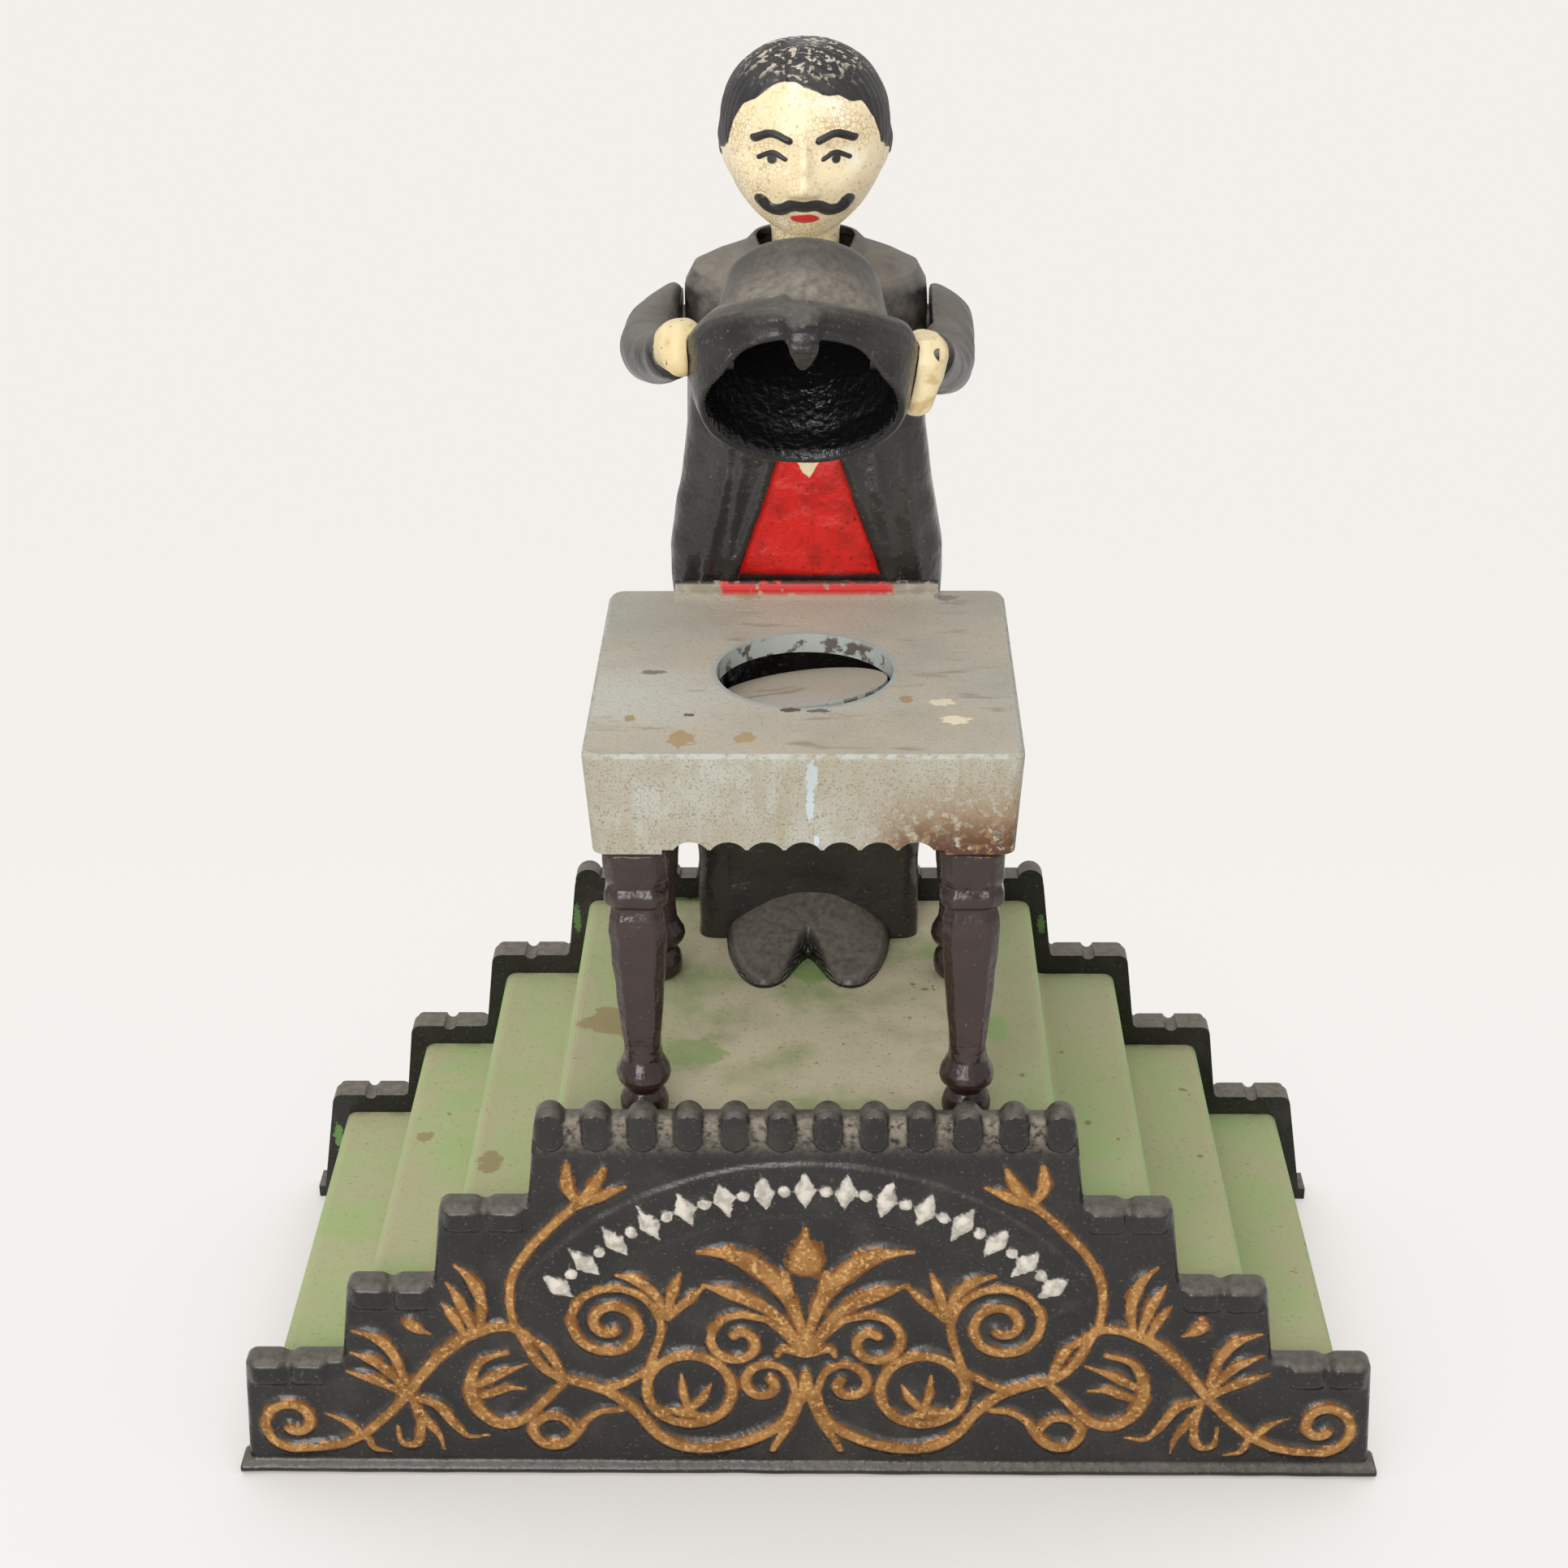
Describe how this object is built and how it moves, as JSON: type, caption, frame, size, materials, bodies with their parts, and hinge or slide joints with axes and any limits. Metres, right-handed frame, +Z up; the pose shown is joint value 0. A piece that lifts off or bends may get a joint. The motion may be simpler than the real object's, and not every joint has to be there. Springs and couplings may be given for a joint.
{
  "type": "mechanical bank",
  "caption": "Cast iron mechanical bank: a figure behind a table lowers a top hat over a coin and a trap lets it fall into the stepped base.",
  "frame": {"origin": "middle of the underside of the base, on the ground", "axes": "+X to the right seen from the front, +Y to the back, +Z up; the table stands at -Y and the figure at +Y"},
  "size_m": [0.178, 0.094, 0.2078],
  "materials": {
    "black_paint": "semi-gloss black enamel on cast iron, dusty, gold painted ornament",
    "green_paint": "worn green enamel",
    "blue_grey_paint": "worn pale blue-grey enamel with rust",
    "brown_paint": "dark brown enamel",
    "skin_paint": "crackled cream enamel",
    "steel": "dull steel"
  },
  "bodies": {
    "root": {"front_panel": "black_paint", "rear_panel": "black_paint", "deck": "green_paint", "tie_screws": "steel", "bottom_plate": "black_paint", "plate_screws": "steel", "table_top": "blue_grey_paint", "leg_front_left": "brown_paint", "leg_front_right": "brown_paint", "leg_rear_left": "brown_paint", "leg_rear_right": "brown_paint", "trap_pin": "steel", "coin_trough": "steel", "trough_screws": "steel", "body_front": "black_paint", "body_back": "black_paint", "body_screws": "steel", "figure_screws": "steel", "coin_chute": "steel", "head_pin": "steel", "lever_pin": "steel", "lever_bracket": "steel", "bracket_screws": "steel", "return_spring": "steel"},
    "arms": {"arm_left": "black_paint", "arm_right": "black_paint", "arm_shaft": "steel", "arm_crank": "steel", "crank_pin": "steel", "hat": "black_paint", "hat_rivets": "steel"},
    "head": {"head": "skin_paint"},
    "pull_rod": {"pull_rod": "steel"},
    "lever": {"thumb_lever": "black_paint"},
    "trap": {"trap_disc": "blue_grey_paint"},
    "coin_trap": {"coin_trap_cover": "black_paint", "coin_trap_bar": "steel", "coin_trap_rivet": "steel"}
  },
  "joints": [
    {"name": "arm_swing", "type": "hinge", "parent": "root", "child": "arms", "pos_m": [0, 0.0305, 0.166], "axis": [1, 0, 0], "range_deg": [0, 52], "stiffness_Nm_per_rad": 0.06, "springref_deg": -45.84},
    {"name": "head_nod", "type": "hinge", "parent": "root", "child": "head", "pos_m": [0, 0.0305, 0.173], "axis": [1, 0, 0], "range_deg": [0, 12]},
    {"name": "rod_pull", "type": "slide", "parent": "root", "child": "pull_rod", "axis": [0, 0, -1], "range_m": [0, 0.00369]},
    {"name": "lever_press", "type": "hinge", "parent": "root", "child": "lever", "pos_m": [-0.0139, -0.026, 0.03], "axis": [-1, 0, 0], "range_deg": [0, 4.03], "deforming": ["return_spring"]},
    {"name": "trap_tip", "type": "hinge", "parent": "root", "child": "trap", "pos_m": [0.00599, -0.0186, 0.1197], "axis": [-0.8746, -0.4848, 0], "range_deg": [0, 23.5]},
    {"name": "coin_trap_turn", "type": "hinge", "parent": "root", "child": "coin_trap", "pos_m": [0.04, 0, 0.0022], "axis": [0, 0, 1], "range_deg": [0, 90]}
  ],
  "couplings": [
    {"joint": "head_nod", "follows": "arm_swing", "ratio": 0.23075},
    {"joint": "rod_pull", "follows": "arm_swing", "m_per_rad": 0.0040573},
    {"joint": "lever_press", "follows": "arm_swing", "ratio": 0.077328},
    {"joint": "trap_tip", "follows": "arm_swing", "ratio": 0.4519}
  ]
}
